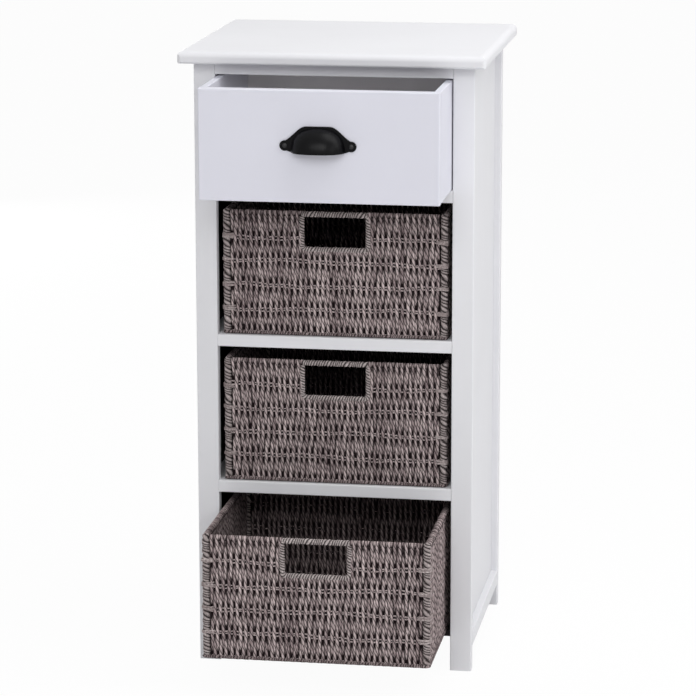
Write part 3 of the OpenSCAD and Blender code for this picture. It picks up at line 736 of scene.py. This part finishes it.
# corner posts with ties at each row, the border of the hand hole and the rim above the hole
def wrapEdges(rng, box, top, rows, holeSide, holeLow):
    x, y0, y1, z0 = box
    edges = []
    r = post["radius"]
    acrossX = np.array([[-1.0, 0, 0]] * 2)
    for outX, outY, y in ((-1, -1, y0 + r), (1, -1, y0 + r), (1, 1, y1 - r), (-1, 1, y1 - r)):
        path = np.array([[outX * (x - r), y, z] for z in (z0 + post["foot"], top + post["proud"])])
        edges.append(coil(rng, path, acrossX, r, post["pitch"], post["groove"], starts=2,
                          roundEnds=post["roundEnds"]))
        edges += cornerTies(rng, path[0], outX, outY, rows)

    wall = [0, y0 + basket["inset"], 0]
    bend = border["bend"]
    a = np.radians(np.linspace(180, 270, 7))
    cornerX, cornerZ = bend - holeSide, z0 + holeLow + bend
    corner = np.stack([cornerX + bend * np.cos(a), 0 * a, cornerZ + bend * np.sin(a)], -1)
    start = np.array([[-holeSide, 0, top - border["topRoom"]]])
    path = np.concatenate([start, corner, corner[::-1] * [-1, 1, 1], start * [-1, 1, 1]]) + wall
    frontward = np.array([[0, -1.0, 0]] * len(path))
    hole = [coil(rng, path, frontward, border["radius"], border["pitch"], border["groove"], starts=2)]
    half = holeSide + rimWrap["past"]
    path = np.array([[end, 0, top - rimWrap["radius"]] for end in (-half, half)]) + wall
    hole.append(coil(rng, path, frontward[:2], rimWrap["radius"], rimWrap["pitch"], rimWrap["groove"],
                     starts=2, roundEnds=rimWrap["roundEnds"]))
    for part in hole:
        part["tone"] = part["tone"] + border["tone"]
    return edges + hole


def makeBasket(level, seed):
    rng = np.random.default_rng(seed)
    weave, rim, body = f"basket_{level}_weave", f"basket_{level}_rim", f"basket_{level}"
    low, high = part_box(weave)
    box, top = (high.x, low.y, high.y, low.z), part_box(rim)[1].z
    rimMiddle = top - low.z - basket["inset"]
    rowStep = (rimMiddle - basket["rowLow"]) / basket["rows"]
    rows = basket["rowLow"] + rowStep * np.arange(1, basket["rows"])
    holeSide = basket["holeHalf"] + border["radius"]
    holeLow = basket["holeBottom"] - border["radius"]
    count = strand["across"][level]

    strands, cords = weaveWalls(rng, box, rimMiddle, count, rowStep, rows, holeSide, holeLow)
    frontPiece = putPiece(f"front_strands_{level}", strands[:1], body, strandRope)
    putPiece(f"wall_strands_{level}", strands[1:], body, strandRope)
    base = weaveBottom(rng, box, count + 4)     # 4 more, where the walls have their corner posts
    putPiece(f"cords_{level}", base + cords, body, strandRope)
    edges = wrapEdges(rng, box, top, rows, holeSide, holeLow)
    edgePiece = putPiece(f"wrapped_edges_{level}", edges, body, wrapRope)
    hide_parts(weave)
    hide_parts(rim)


for level, seed in (("top", 11), ("middle", 23), ("bottom", 37)):
    makeBasket(level, seed)
print("baskets woven")

studio = {
    "floorReach": 9.0,
    "floorColour": (0.88, 0.88, 0.885),
    "floorRoughness": 0.9,
    "floorGloss": 0.1,
    "floorWhite": 0.96,         # share of plain white that the camera sees in the floor
    "worldStrength": 0.38,
}

reach = studio["floorReach"]
floorMesh = bpy.data.meshes.new("studio_floor")
floorCorners = [(-reach, -reach, 0), (reach, -reach, 0), (reach, reach, 0), (-reach, reach, 0)]
floorMesh.from_pydata(floorCorners, [], [(0, 1, 2, 3)])
floorPiece = bpy.data.objects.new("studio_floor", floorMesh)
scene.collection.objects.link(floorPiece)
floorMaterial, add, coat = startMaterial("studio_floor")
coat(Base_Color=(*studio["floorColour"], 1), Roughness=studio["floorRoughness"],
     Specular_IOR_Level=studio["floorGloss"])
seen = add("ShaderNodeLightPath")
mirrored = reckon(add, "MAXIMUM", seen["Is Camera Ray"], seen["Is Glossy Ray"])
share = reckon(add, "MULTIPLY", mirrored, studio["floorWhite"])
white = add("ShaderNodeEmission", Color=(1, 1, 1, 1), Strength=1.0)[0]
floorTree = floorMaterial.node_tree
lit = floorTree.nodes["Principled BSDF"].outputs[0]
mixed = add("ShaderNodeMixShader", i0=share, i1=lit, i2=white)[0]
fillInputs(floorTree, floorTree.nodes["Material Output"], {"Surface": mixed})
floorMesh.materials.append(floorMaterial)

world = bpy.data.worlds.new("studio")
scene.world = world
world.use_nodes = True
sky = world.node_tree
sky.nodes.clear()
rays = addNode(sky, "ShaderNodeLightPath", None, {})
direct = addNode(sky, "ShaderNodeMath", {"operation": "MAXIMUM"},
                 {"i0": rays["Is Camera Ray"], "i1": rays["Is Glossy Ray"]})[0]
soft, plain = [addNode(sky, "ShaderNodeBackground", None, {"Color": (1, 1, 1, 1), "Strength": strength})[0]
               for strength in (studio["worldStrength"], 1.0)]
mixed = addNode(sky, "ShaderNodeMixShader", None, {"i0": direct, "i1": soft, "i2": plain})[0]
addNode(sky, "ShaderNodeOutputWorld", None, {"Surface": mixed})

# each lamp's place, the height that it points at, its size and its power
lamps = {
    "overhead": ((0.9, -0.3, 2.9), 0.5, 2.0, 28.5),
    "front right": ((2.4, -2.4, 1.6), 0.5, 1.6, 10.0),
    "right": ((2.2, -0.4, 2.1), 0.5, 1.8, 17.0),
    "high in front": ((0.1, -3.4, 2.4), 0.5, 1.8, 38.0),
    "behind": ((-1.8, 3.0, 0.9), 0.4, 1.8, 24.0),
}
for name, (place, aim, size, power) in lamps.items():
    lamp = bpy.data.lights.new(name, "AREA")
    lamp.shape = "DISK"
    lamp.size, lamp.energy = size, power
    holder = bpy.data.objects.new(name, lamp)
    scene.collection.objects.link(holder)
    holder.location = place
    holder.rotation_euler = (Vector((0, 0, aim)) - Vector(place)).to_track_quat("-Z", "Y").to_euler()

view = {
    "place": (0.66201, -4.11537, 1.32588),
    "ahead": (-0.154409, 0.964410, -0.214641),
    "roll": -0.0726,
    "lens": 166.08,
    "sensor": 36.0,
}
camera = bpy.data.cameras.new("camera")
camera.lens = view["lens"]
camera.sensor_width = view["sensor"]
cameraHolder = bpy.data.objects.new("camera", camera)
scene.collection.objects.link(cameraHolder)
turn = Vector(view["ahead"]).to_track_quat("-Z", "Y").to_matrix().to_4x4()
roll = Matrix.Rotation(math.radians(view["roll"]), 4, "Z")
cameraHolder.matrix_world = Matrix.Translation(view["place"]) @ turn @ roll
scene.camera = cameraHolder
scene.view_settings.view_transform = "Standard"
print("studio ready")
